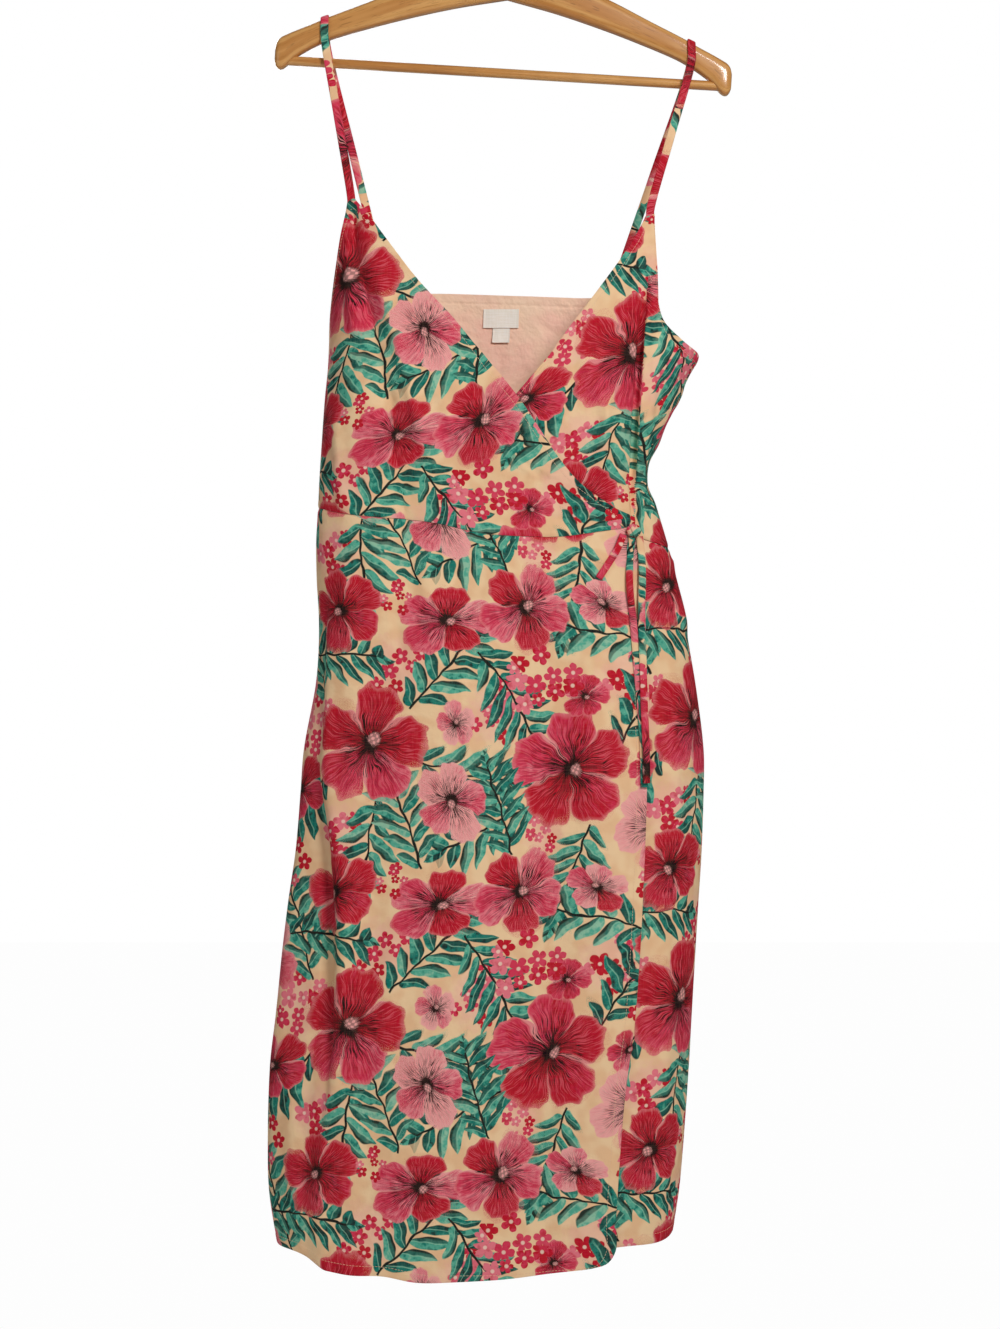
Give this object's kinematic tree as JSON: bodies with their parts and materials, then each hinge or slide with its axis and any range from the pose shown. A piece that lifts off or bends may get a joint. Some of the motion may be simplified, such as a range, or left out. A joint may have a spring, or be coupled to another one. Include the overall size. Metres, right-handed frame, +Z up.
{
  "type": "wrap dress on a clothes hanger",
  "caption": "Sleeveless midi wrap dress in printed cloth with thin straps, a crossed V neck and a side tie, hanging on a wooden hanger with a bar",
  "frame": {"origin": "the inner crown of the hanger's hook, where the hanger hangs on a rail", "axes": "+X to the viewer's right (the wearer's left), +Y to the dress's back, +Z up"},
  "size_m": [0.4517, 0.1406, 1.3625],
  "materials": {
    "print_cloth": "light plain-woven cloth with a large flower and leaf print on peach, softly creased",
    "lining_cloth": "plain peach-pink woven lining, matt",
    "label_tape": "blank off-white woven satin tape",
    "varnished_wood": "honey-coloured clear-varnished wood",
    "hook_steel": "bright plated steel wire"
  },
  "bodies": {
    "root": {"over_bodice": "print_cloth", "under_bodice": "print_cloth", "back_bodice": "print_cloth", "back_lining": "lining_cloth", "over_skirt": "print_cloth", "under_skirt": "print_cloth", "back_skirt": "print_cloth", "strap_right": "print_cloth", "strap_left": "print_cloth", "tie_knot": "print_cloth", "tie_loop": "print_cloth", "tie_end_front": "print_cloth", "tie_end_back": "print_cloth", "neck_label": "label_tape", "size_tag": "label_tape", "hanger_arm_left": "varnished_wood", "hanger_arm_right": "varnished_wood", "hanger_bar": "varnished_wood", "hanger_hook": "hook_steel"}
  },
  "joints": []
}
